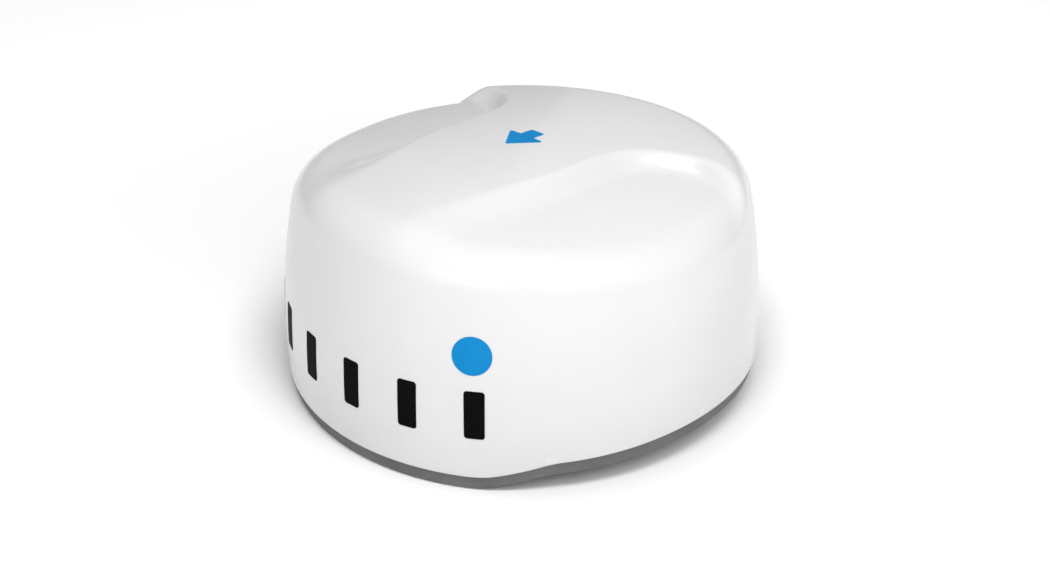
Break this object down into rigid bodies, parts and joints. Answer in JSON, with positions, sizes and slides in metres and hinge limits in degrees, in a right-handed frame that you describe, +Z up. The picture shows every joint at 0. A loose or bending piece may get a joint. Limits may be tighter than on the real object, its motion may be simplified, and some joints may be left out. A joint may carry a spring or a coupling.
{
  "type": "radar dome antenna",
  "caption": "Round white dome antenna for marine radar: sealed cover over a rotating slotted array, gear drive and electronics on a base tray with threaded mounting inserts.",
  "frame": {"origin": "centre of the flat underside that the antenna stands on", "axes": "+Z up along the dome's axis and the antenna's turning axis, -Y to the front (the marked side), +X to the right as seen by the antenna"},
  "size_m": [0.5075, 0.508, 0.2484],
  "materials": {
    "cover_white": "glossy white moulded shell",
    "base_grey": "satin dark grey moulding",
    "mark_black": "satin printed film",
    "mark_blue": "satin printed film",
    "seal_rubber": "soft black",
    "stainless": "satin",
    "brass": "machined",
    "black_plastic": "moulded",
    "cast_aluminium": "cast, blasted",
    "machined_aluminium": "brushed",
    "bearing_steel": "ground",
    "motor_black": "satin black",
    "board_green": "solder mask",
    "chip_black": "moulded",
    "lead_jacket": "smooth jacket",
    "copper_cable": "semi-rigid copper",
    "gear_plastic": "natural acetal",
    "magnet": "plated",
    "window_plastic": "satin cream",
    "cage_brass": "machined"
  },
  "bodies": {
    "root": {"base_tray": "base_grey", "mount_inserts": "brass", "cover_seal": "seal_rubber", "cover_screws": "stainless", "power_socket": "black_plastic", "network_socket": "black_plastic", "socket_nuts": "black_plastic", "socket_seals": "seal_rubber", "breather_vent": "black_plastic", "pedestal": "cast_aluminium", "pedestal_screws": "stainless", "bearing_retainer": "machined_aluminium", "retainer_screws": "stainless", "bearing_spacer": "bearing_steel", "bearing_outer_rings": "bearing_steel", "rotary_joint_stator": "brass", "motor_body": "motor_black", "motor_bracket": "machined_aluminium", "motor_screws": "stainless", "bracket_screws": "stainless", "home_sensor": "black_plastic", "main_board": "board_green", "main_board_parts": "chip_black", "power_board": "board_green", "power_board_parts": "chip_black", "standoffs": "brass", "board_screws": "stainless", "transceiver_box": "cast_aluminium", "transceiver_lid": "cast_aluminium", "transceiver_screws": "stainless", "receiver_board": "board_green", "magnetron": "machined_aluminium", "magnetron_screws": "stainless", "leads": "lead_jacket", "rf_cable": "copper_cable"},
    "antenna": {"turntable_shaft": "bearing_steel", "bearing_inner_rings": "bearing_steel", "shaft_spacer": "machined_aluminium", "shaft_circlip": "bearing_steel", "rotary_joint_rotor": "brass", "drive_gear": "gear_plastic", "gear_bolts": "stainless", "home_magnet": "magnet", "slotted_waveguide": "brass", "horn_sheets": "machined_aluminium", "horn_end_plates": "machined_aluminium", "horn_window": "window_plastic", "antenna_bracket": "machined_aluminium", "feed_launcher": "brass", "clamp_bolts": "stainless"},
    "ball_cages": {"bearing_balls": "bearing_steel", "bearing_cages": "cage_brass"},
    "motor_rotor": {"motor_shaft": "bearing_steel", "drive_pinion": "brass", "pinion_screw": "stainless"},
    "cover": {"radome_cover": "cover_white", "cover_inserts": "brass", "front_mark": "mark_black", "side_mark": "mark_blue", "heading_mark": "mark_blue"}
  },
  "joints": [
    {"name": "antenna_spin", "type": "hinge", "parent": "root", "child": "antenna", "pos_m": [0, 0, 0], "axis": [0, 0, 1], "continuous": true},
    {"name": "cage_spin", "type": "hinge", "parent": "root", "child": "ball_cages", "pos_m": [0, 0, 0], "axis": [0, 0, 1], "continuous": true},
    {"name": "pinion_spin", "type": "hinge", "parent": "root", "child": "motor_rotor", "pos_m": [0.07875, 0, 0], "axis": [0, 0, 1], "continuous": true},
    {"name": "cover_lift", "type": "slide", "parent": "root", "child": "cover", "axis": [0, 0, 1], "range_m": [0, 0.25]}
  ],
  "couplings": [
    {"joint": "pinion_spin", "follows": "antenna_spin", "ratio": -6},
    {"joint": "cage_spin", "follows": "antenna_spin", "ratio": 0.40588}
  ]
}
